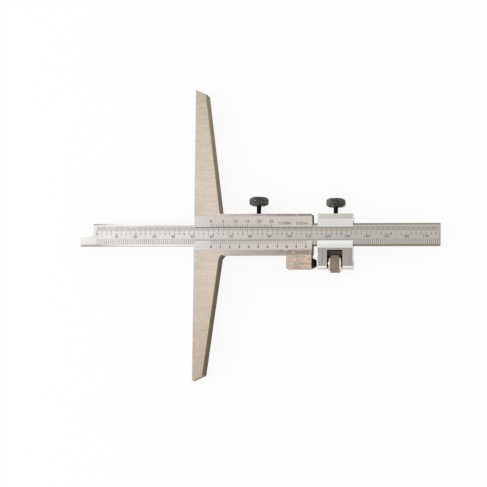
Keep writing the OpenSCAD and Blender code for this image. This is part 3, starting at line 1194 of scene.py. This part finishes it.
@dataclass
class Base:
    """The one-piece base and frame, its back plate, gib and screws.

    Attributes:
        strip: Distance from the beam's axis beyond which a wall or an edge belongs to an arm.
        outer: Distance from it beyond which a wall is an outer one.
        tip: Distance from it beyond which an edge belongs to an arm's tip.
        front: Height over it beyond which a flat is the front face.
        arm_chamfer: Width of the chamfer along the arms' long edges away from the datum face.
        tip_turn: Least share along X of a wall's normal whose edge has that chamfer at a tip.
        root_turn: The same nearer the beam, where the chamfer follows the fillet.
    """

    strip: float = 10.8 * MM
    outer: float = 9 * MM
    tip: float = 60 * MM
    front: float = 3 * MM
    arm_chamfer: float = 0.75 * MM
    tip_turn: float = 0.6
    root_turn: float = -0.5

    def _pick(self, centre: Vector, normal: Vector) -> int:
        """The finish of a face of the base.

        Args:
            centre: The face's centre.
            normal: Its normal.

        Returns:
            0 for the brushed front and the frame's long sides, 1 for the vernier faces and the datum
            face, 2 for flanks, 3 for the back, 6 for the arms' walls and 7 for the arms' ends; 2, 6 and 7
            carry painted shade.
        """
        if normal.z > SQUARE and centre.z > self.front:
            return 0
        if normal.z > SLOPED:
            return 1
        if normal.z < -SLOPED:
            return 3
        if abs(normal.y) > MOSTLY and abs(centre.y) > self.outer:
            return 7 if abs(centre.y) > self.tip else 0
        if normal.x < -FACING:
            return 1
        return 6 if abs(centre.y) > self.strip else 2

    def _arm_edge(self, edge: bmesh.types.BMEdge) -> bool:
        """Whether an edge is the long front edge of an arm, or of its fillet.

        Args:
            edge: The edge.

        Returns:
            True if it is.
        """
        place = middle(edge)
        front = place.z > node_box("base_frame")[1].z - NEAR
        walls = [face.normal for face in edge.link_faces if abs(face.normal.z) < WALL]
        if not front or abs(place.y) < self.strip or len(walls) != 1:
            return False
        return walls[0].x > (self.tip_turn if abs(place.y) > self.tip else self.root_turn)

    def build(self) -> None:
        """Builds the base's pieces."""
        EasedNode(
            "base_frame",
            Body.FRAME,
            Slot.FRAME,
            [
                Finishes.WARM,
                Finishes.VERNIER,
                Finishes.FLANK,
                Finishes.BACK,
                Finishes.ARM_EDGE,
                Finishes.LIP,
                Finishes.ARM_WALL,
                Finishes.ARM_END,
            ],
            self._pick,
            ease=0.12 * MM,
            chamfers=[Chamfer(self._arm_edge, self.arm_chamfer, 4), Chamfer(is_lip, LIP_CHAMFER, 5)],
        ).build()
        EasedNode(
            "frame_back_plate",
            Body.FRAME,
            Slot.SATIN,
            [Finishes.PLATE, Finishes.FLANK],
            lambda centre, normal: 0 if abs(normal.z) > SLOPED else 1,
        ).build()
        plate_screws = [f"frame_back_screw_{index}" for index in range(1, 5)]
        grub_screws = ["gib_grub_screw_1", "gib_grub_screw_2"]
        ease_all(plate_screws, Body.FRAME, Slot.SCREW, Finishes.SCREW)
        ease_all(grub_screws, Body.FRAME, Slot.BLACK, Finishes.BLACK)
        ease_all(["frame_gib"], Body.FRAME, Slot.BRASS, Finishes.BRASS)


@dataclass
class Beam:
    """The graduated beam.

    Attributes:
        worn: How much further the long front chamfers are worn down.
        margin: Distance from the beam's sides within which an edge belongs to a long chamfer.
        end_chamfer: Width of the chamfers at its two ends.
    """

    worn: float = 0.35 * MM
    margin: float = 0.6 * MM
    end_chamfer: float = 0.75 * MM

    def _pick(self, centre: Vector, normal: Vector) -> int:
        """The finish of a face of the beam.

        Args:
            centre: The face's centre.
            normal: Its normal.

        Returns:
            0 for the front and the back, 1 for the long front chamfers with their painted light and 2 for the
            sides.
        """
        if abs(normal.z) > FACING:
            return 0
        return 1 if normal.z > WALL else 2

    def _front(self, edge: bmesh.types.BMEdge) -> bool:
        """Whether an edge bounds the front face."""
        return middle(edge).z > node_box("beam")[1].z - NEAR

    def _long(self, edge: bmesh.types.BMEdge) -> bool:
        """Whether an edge is a long chamfer's edge on the front face.

        Args:
            edge: The edge.

        Returns:
            True if it is.
        """
        low, high = node_box("beam")
        y = middle(edge).y
        return self._front(edge) and runs_along(edge, Axis.X) and min(y - low.y, high.y - y) < self.margin

    def _end(self, edge: bmesh.types.BMEdge) -> bool:
        """Whether an edge is the front edge of one of the beam's ends.

        Args:
            edge: The edge.

        Returns:
            True if it is.
        """
        low, high = node_box("beam")
        x = middle(edge).x
        return self._front(edge) and min(x - low.x, high.x - x) < NEAR

    def build(self) -> None:
        """Builds the beam and its scales."""
        EasedNode(
            "beam",
            Body.BEAM,
            Slot.BEAM,
            [Finishes.BEAM, Finishes.BEAM_EDGE, Finishes.BEAM_SIDE],
            self._pick,
            ease=0.06 * MM,
            corner=15.0,
            chamfers=[Chamfer(self._long, self.worn, 1), Chamfer(self._end, self.end_chamfer, 2)],
        ).build()
        BeamScales().build()


@dataclass
class Carriage:
    """The fine-adjust carriage with its gib.

    Attributes:
        window_x: Half the length of the nut's window.
        window_y: Y of its edge nearest the beam.
        slope: Shares along Z of a slope's normal, from the steepest slope to the flattest.
        side_chamfer: Width of the edge towards the frame, which carries a painted highlight.
    """

    window_x: float = 4.0 * MM
    window_y: float = -8.0 * MM
    slope: tuple[float, float] = (0.2, 0.98)
    side_chamfer: float = 0.3 * MM

    def _pick(self, centre: Vector, normal: Vector) -> int:
        """The finish of a face of the carriage.

        Args:
            centre: The face's centre.
            normal: Its normal.

        Returns:
            0 for flats, 1 for walls and 2 for the nut's window, both in painted shade, 3 for the upper flat,
            4 for slopes and 5 for the bottom chamfer and the outer end, which carry a painted highlight.
        """
        low, high = node_box("carriage_body")
        from_nut = abs(centre.x - (low.x + high.x) / 2)
        inside = from_nut < self.window_x + NEAR and centre.y < self.window_y
        if inside and low.z + NEAR < centre.z < high.z - NEAR:
            return 2
        if abs(normal.x) > FACING:
            return 5 if centre.x > high.x - NEAR else 1
        steepest, flattest = self.slope
        if steepest < normal.z < flattest:
            return 5 if normal.y < 0 and centre.y < 0 else 4
        return 3 if normal.z > flattest and centre.y > 0 else 0

    def _side(self, edge: bmesh.types.BMEdge) -> bool:
        """Whether an edge is a front edge towards the frame.

        Args:
            edge: The edge.

        Returns:
            True if it is.
        """
        low, high = node_box("carriage_body")
        place = middle(edge)
        return place.x < low.x + NEAR and place.z > high.z - NEAR

    def build(self) -> None:
        """Builds the carriage's pieces."""
        EasedNode(
            "carriage_body",
            Body.CARRIAGE,
            Slot.SATIN,
            [
                Finishes.CARRIAGE,
                Finishes.FLANK,
                Finishes.SOCKET,
                Finishes.CARRIAGE_TOP,
                Finishes.POLISHED,
                Finishes.BRIGHT,
                Finishes.LIP,
            ],
            self._pick,
            ease=0.12 * MM,
            chamfers=[Chamfer(is_lip, LIP_CHAMFER, 6), Chamfer(self._side, self.side_chamfer, 5)],
        ).build()
        ease_all(["carriage_gib"], Body.CARRIAGE, Slot.BRASS, Finishes.BRASS)


@dataclass
class LockScrew:
    """A knurled lock screw on its threaded stem.

    Attributes:
        node: The CAD node that it stands for.
        body: The body that it rides on.
        head_d: Diameter of the head.
        head_t: Thickness of the head.
        rounding: Length of the head's rounded edges along its axis.
        crown: Their width across the head.
        corner_steps: Steps of a rounded edge.
        smooth: How far round a rounded edge the knurl starts, as the sine of the turn.
        face: How far its flat end faces stay inside the rounded edges.
        worn: Where the painted highlight on the head's left side fades into the plain oxide, from the head's
            axis along X.
        ridges: Diamonds round the head.
        knurl: Depth of the knurl.
        row: Distance between two rings of the knurl.
        stem_d: Diameter of the stem.
        stem_points: Points round the stem.
        thread: The stem's thread.
        neck: Plain length between the thread and the head.
        run_out: How much of it leads out of the thread.
        root: How far the stem reaches into the head.
    """

    node: str
    body: Body
    head_d: float = 10 * MM
    head_t: float = 4.7 * MM
    rounding: float = 1.6 * MM
    crown: float = 2.4 * MM
    corner_steps: int = 5
    smooth: float = 0.3
    face: float = 0.6 * MM
    worn: tuple[float, float] = (-3.8 * MM, -0.4 * MM)
    ridges: int = 40
    knurl: float = 0.22 * MM
    row: float = 0.2 * MM
    stem_d: float = 2.5 * MM
    stem_points: int = 32
    thread: Thread = Thread(0.45 * MM, 0.22 * MM)
    neck: float = 0.5 * MM
    run_out: float = 0.1 * MM
    root: float = 1.0 * MM

    def _diamonds(self, angle: float, along: float) -> float:
        """Depth of the diamond knurl.

        Args:
            angle: Angle round the axis.
            along: Place along it.

        Returns:
            The share of the knurl's full depth.
        """
        turn = angle / math.tau * self.ridges
        climb = along / (math.pi * self.head_d / self.ridges)
        return max(wave(turn + climb / 2), wave(turn - climb / 2))

    def build(self) -> None:
        """Builds the head and the stem."""
        low, high = node_box(self.node)
        centre = Vector(((low.x + high.x) / 2, 0.0, 0.0))
        name = self.node.replace("_screw", "")
        foot = high.y - self.head_t
        # The head's left side takes a painted highlight, which fades into the plain black oxide towards +X.
        start, end = (centre.x + place for place in self.worn)
        worn = replace(Finishes.HEAD, name=f"{name}_oxide", fades=((start, end, Finishes.BLACK.tone),))
        rings = self._head(foot, high.y, (high.x - low.x) / 2)
        head = Turned(Axis.Y, centre, rings, self.ridges * RIDGE_POINTS, self._diamonds)
        head.build(f"{name}_head", self.body, Slot.BLACK, [worn, Finishes.HEAD_FACE], [self.node])
        radius = self.stem_d / 2
        rings = self.thread.rings(low.y, foot - self.neck, radius)
        rings += [Ring(foot - self.neck + self.run_out, radius), Ring(foot + self.root, radius)]
        stem = Turned(Axis.Y, centre, rings, self.stem_points, self.thread.pattern)
        stem.build(f"{name}_stem", self.body, Slot.BLACK, [Finishes.STEM])

    def _head(self, foot: float, top: float, radius: float) -> list[Ring]:
        """Rings of the head.

        Args:
            foot: Its lower end along the axis.
            top: Its upper end.
            radius: Its radius.

        Returns:
            The rings, from the lower face to the upper one.
        """
        flat = radius - self.crown - self.face
        inner = top - foot - 2 * self.rounding
        count = round(inner / self.row)
        sides = [foot + self.rounding + inner * step / count for step in range(1, count)]
        *upper, rim = reversed(self._corner(top, radius, -1))
        return [
            Ring(foot, flat, finish=1),
            *self._corner(foot, radius, 1),
            *(Ring(along, radius, self.knurl) for along in sides),
            *upper,
            replace(rim, finish=1),
            Ring(top, flat, finish=1),
        ]

    def _corner(self, end: float, radius: float, way: int) -> list[Ring]:
        """Rings of a rounded edge of the head.

        Args:
            end: Where the head ends along the axis.
            radius: The head's radius.
            way: 1 if the head goes on towards +Y from that end, else -1.

        Returns:
            The rings, from the end face to the rim.
        """
        rings = []
        for step in range(self.corner_steps + 1):
            turn = math.pi / 2 * step / self.corner_steps
            along = end + way * self.rounding * (1 - math.cos(turn))
            out = radius - self.crown * (1 - math.sin(turn))
            rings.append(Ring(along, out, self.knurl * max(0.0, math.sin(turn) - self.smooth)))
        return rings


@dataclass
class FineAdjustment:
    """The lug, the fine-adjust screw in it and the knurled nut.

    Attributes:
        ridges: Ridges round the nut.
        knurl: Depth of its knurl.
        band: Width of its knurled band.
        face_d: Diameter of its end faces.
        shoulder_d: Diameter of its round shoulders, next to the band.
        shoulder_steps: Steps of a shoulder.
        bore_d: Diameter of its bore.
        bevel: Width of the bevels at the bore and the band.
        collar: Length of the screw's collar.
        collar_bevel: Width of the bevels at the collar and the screw's end in the lug.
        spigot_d: Diameter of its end in the lug.
        thread_d: Diameter of its thread.
        thread: Its thread.
        thread_points: Points round it.
        plain: Plain length before and after the thread.
        undercut: How far the screw narrows next to the collar.
        point: How far it narrows at its end.
    """

    ridges: int = 32
    knurl: float = 0.32 * MM
    band: float = 4.8 * MM
    face_d: float = 5.4 * MM
    shoulder_d: float = 8.5 * MM
    shoulder_steps: int = 6
    bore_d: float = 4.1 * MM
    bevel: float = 0.15 * MM
    collar: float = 1.4 * MM
    collar_bevel: float = 0.12 * MM
    spigot_d: float = 3.2 * MM
    thread_d: float = 4.0 * MM
    thread: Thread = Thread(0.5 * MM, 0.24 * MM)
    thread_points: int = 48
    plain: float = 0.3 * MM
    undercut: float = 0.2 * MM
    point: float = 0.4 * MM

    def _ridge(self, angle: float, along: float) -> float:
        """Depth of the nut's straight knurl at an angle, the same all along the axis."""
        return wave(angle / math.tau * self.ridges)

    def build(self) -> None:
        """Builds the lug, the screw, the pin and the nut."""
        EasedNode(
            "screw_lug",
            Body.FRAME,
            Slot.FRAME,
            [Finishes.LUG, Finishes.FLANK],
            lambda centre, normal: 1 if abs(normal.x) > MOSTLY else 0,
            ease=0.12 * MM,
        ).build()
        ease_all(["lug_screw_1", "lug_screw_2"], Body.FRAME, Slot.SCREW, Finishes.SCREW)
        ease_all(["anchor_pin"], Body.FRAME, Slot.SCREW, Finishes.SCREW, ease=0.08 * MM)
        self._nut()
        self._screw()

    def _shoulder(self, end: float, length: float, way: int) -> list[Ring]:
        """Rings of a round shoulder of the nut.

        Args:
            end: Where the nut ends along the axis.
            length: The shoulder's length.
            way: 1 if the nut goes on towards +X from that end, else -1.

        Returns:
            The rings, from the end face to the knurled band.
        """
        face, rim = self.face_d / 2, self.shoulder_d / 2
        turns = [math.pi / 2 * step / self.shoulder_steps for step in range(self.shoulder_steps + 1)]
        return [
            Ring(end + way * length * (1 - math.cos(turn)), face + (rim - face) * math.sin(turn), finish=1)
            for turn in turns
        ]

    def _nut(self) -> None:
        """Builds the knurled nut."""
        low, high = node_box("fine_nut")
        radius = (high.y - low.y) / 2
        centre = Vector((0.0, (low.y + high.y) / 2, 0.0))
        end = ((high.x - low.x) - self.band) / 2
        bore, bevel = self.bore_d / 2, self.bevel
        rings = [
            Ring(low.x + bevel, bore, finish=1),
            Ring(low.x, bore + bevel, finish=1),
            *self._shoulder(low.x, end, 1),
            Ring(low.x + end, radius - 2 * bevel),
            Ring(low.x + end + bevel, radius, self.knurl),
            Ring(high.x - end - bevel, radius, self.knurl),
            Ring(high.x - end, radius - 2 * bevel),
            *reversed(self._shoulder(high.x, end, -1)),
            Ring(high.x, bore + bevel, finish=1),
            Ring(high.x - bevel, bore, finish=1),
        ]
        nut = Turned(Axis.X, centre, rings, self.ridges * RIDGE_POINTS, self._ridge, closed=True)
        finishes = [Finishes.NICKEL, Finishes.NICKEL_EDGE]
        nut.build("fine_nut_knurled", Body.NUT, Slot.NICKEL, finishes, ["fine_nut"])

    def _screw(self) -> None:
        """Builds the fine-adjust screw with its collar and thread."""
        low, high = node_box("fine_screw")
        start = node_box("screw_lug")[1].x
        end = start + self.collar
        centre = Vector((0.0, (low.y + high.y) / 2, 0.0))
        collar, spigot, crest = (high.y - low.y) / 2, self.spigot_d / 2, self.thread_d / 2
        bevel = self.collar_bevel
        rings = [
            Ring(low.x, spigot - bevel),
            Ring(low.x + bevel, spigot),
            Ring(start, spigot),
            Ring(start, collar - bevel),
            Ring(start + bevel, collar),
            Ring(end - bevel, collar),
            Ring(end, collar - bevel),
            Ring(end, crest - self.undercut),
            *self.thread.rings(end + self.plain, high.x - self.plain, crest),
            Ring(high.x, crest - self.point),
        ]
        screw = Turned(Axis.X, centre, rings, self.thread_points, self.thread.pattern)
        screw.build("fine_screw_threaded", Body.FRAME, Slot.BLACK, [Finishes.STEM], ["fine_screw"])


# ---------------------------------------------------------------- studio


@dataclass(frozen=True)
class SoftBox:
    """A square lamp that faces the gauge.

    Attributes:
        name: Its name.
        place: Where it hangs.
        size: Its side.
        power: Its power in watts.
    """

    name: str
    place: Triple
    size: float
    power: float


@dataclass
class Studio:
    """The pale floor, the soft light and the camera.

    Attributes:
        floor_half: Half the floor's side.
        floor_gap: How far it lies under the gauge.
        floor_grey: Its base colour.
        floor_roughness: Its roughness.
        keep_shadow: How much of the floor's shading the camera sees.
        world_level: Strength of the light from all round, where white is 1.
        lamps: The lamps.
        camera_at: The camera's place.
        camera_turn: Its turns about Y, X and Z in degrees, from looking along -Z.
        focal_px: Its focal length in pixels of the photograph's frame.
        frame_px: Width of that frame.
        sensor: Width of the sensor in millimetres.
    """

    floor_half: float = 3.0
    floor_gap: float = 0.05 * MM
    floor_grey: float = 0.95
    floor_roughness: float = 0.9
    keep_shadow: float = 0.12
    world_level: float = 0.92
    lamps: Sequence[SoftBox] = (
        SoftBox("left_softbox", (-0.2, 0.05, 0.6), 0.16, 0.11),
        SoftBox("top_softbox", (-0.1, 0.66, 0.5), 0.4, 0.14),
        SoftBox("left_strip", (-0.7, -0.1, 0.14), 0.25, 2.2),
    )
    camera_at: Triple = (200 * MM, -120 * MM, 1200 * MM)
    camera_turn: Triple = (8.29, 5.447, 0.69)
    focal_px: float = 2371
    frame_px: float = 487.0
    sensor: float = 36.0

    def build(self) -> None:
        """Builds the whole studio."""
        self._floor()
        self._world()
        self._lamps()
        self._camera()

    def _seen(self, tree: Tree) -> Socket:
        """Tells the rays that show the background as it is, in the picture or in metal.

        Args:
            tree: The tree.

        Returns:
            1 for such a ray, else 0.
        """
        camera = tree.node("ShaderNodeLightPath", output="Is Camera Ray")
        glossy = tree.node("ShaderNodeLightPath", output="Is Glossy Ray")
        through = tree.node("ShaderNodeLightPath", output="Is Transmission Ray")
        return camera.maximum(glossy).maximum(through)

    def _floor(self) -> None:
        """Lays the floor right under the gauge."""
        made = bpy.data.materials.new("pale_floor")
        tree = Tree(made)
        plain = {"Base Color": _rgba((self.floor_grey,) * 3), "Roughness": self.floor_roughness}
        matte = tree.node("ShaderNodeBsdfPrincipled", inputs=plain)
        white = tree.node("ShaderNodeEmission", inputs={"Color": WHITE, "Strength": 1.0})
        share = self._seen(tree) * (1.0 - self.keep_shadow)
        shader = tree.node("ShaderNodeMixShader", inputs={0: share, 1: matte, 2: white})
        tree.node("ShaderNodeOutputMaterial", inputs={"Surface": shader})
        shape = bmesh.new()
        bmesh.ops.create_grid(shape, x_segments=1, y_segments=1, size=self.floor_half)
        shape.transform(Matrix.Translation((0.0, 0.0, CAD_BOX[0].z - self.floor_gap)))
        mesh = mesh_of("floor", shape)
        mesh.materials.append(made)
        floor = bpy.data.objects.new("floor", mesh)
        bpy.context.scene.collection.objects.link(floor)

    def _world(self) -> None:
        """A white background and an even soft light."""
        world = bpy.data.worlds.new("studio")
        bpy.context.scene.world = world
        tree = Tree(world)
        seen = self._seen(tree)
        level = seen + (1.0 - seen) * self.world_level
        light = tree.node("ShaderNodeBackground", inputs={"Color": WHITE, "Strength": level})
        tree.node("ShaderNodeOutputWorld", inputs={"Surface": light})

    def _lamps(self) -> None:
        """Hangs the soft boxes."""
        for box in self.lamps:
            lamp = bpy.data.lights.new(box.name, "AREA")
            lamp.shape = "SQUARE"
            lamp.size = box.size
            lamp.energy = box.power
            holder = bpy.data.objects.new(box.name, lamp)
            holder.location = box.place
            holder.rotation_mode = "QUATERNION"
            holder.rotation_quaternion = (-Vector(box.place)).to_track_quat("-Z", "Y")
            holder.visible_camera = False
            bpy.context.scene.collection.objects.link(holder)

    def _camera(self) -> None:
        """Sets the camera at the photograph's viewing angle."""
        camera = bpy.data.cameras.new("camera")
        camera.sensor_width = self.sensor
        camera.lens = self.focal_px * self.sensor / self.frame_px
        camera.clip_start, camera.clip_end = 0.01, 20.0
        holder = bpy.data.objects.new("camera", camera)
        yaw, pitch, roll = (math.radians(turn) for turn in self.camera_turn)
        turn = Matrix.Rotation(yaw, 4, "Y") @ Matrix.Rotation(pitch, 4, "X") @ Matrix.Rotation(roll, 4, "Z")
        holder.matrix_world = Matrix.Translation(self.camera_at) @ turn
        bpy.context.scene.collection.objects.link(holder)
        bpy.context.scene.camera = holder


def dress_pads(nodes: Iterable[str]) -> None:
    """Gives the brass pads their finish, on the CAD nodes' own meshes.

    Args:
        nodes: Names of the brass pads.
    """
    for name in nodes:
        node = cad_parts[name]
        node.data.materials.clear()
        node.data.materials.append(Finishes.BRASS.material())
        LOG.info("%s: keeps its CAD shape", name)


def main() -> None:
    """Builds the gauge piece by piece, then the studio."""
    logging.basicConfig(level=logging.INFO, format="%(message)s")
    Base().build()
    Beam().build()
    VernierScales().build()
    Carriage().build()
    LockScrew("frame_lock_screw", Body.FRAME_LOCK).build()
    LockScrew("carriage_lock_screw", Body.CARRIAGE_LOCK).build()
    FineAdjustment().build()
    dress_pads(("frame_lock_pad", "carriage_lock_pad"))
    Glyphs.clear()
    Studio().build()
    bpy.context.scene.view_settings.view_transform = "Standard"


if __name__ == "__main__":
    main()
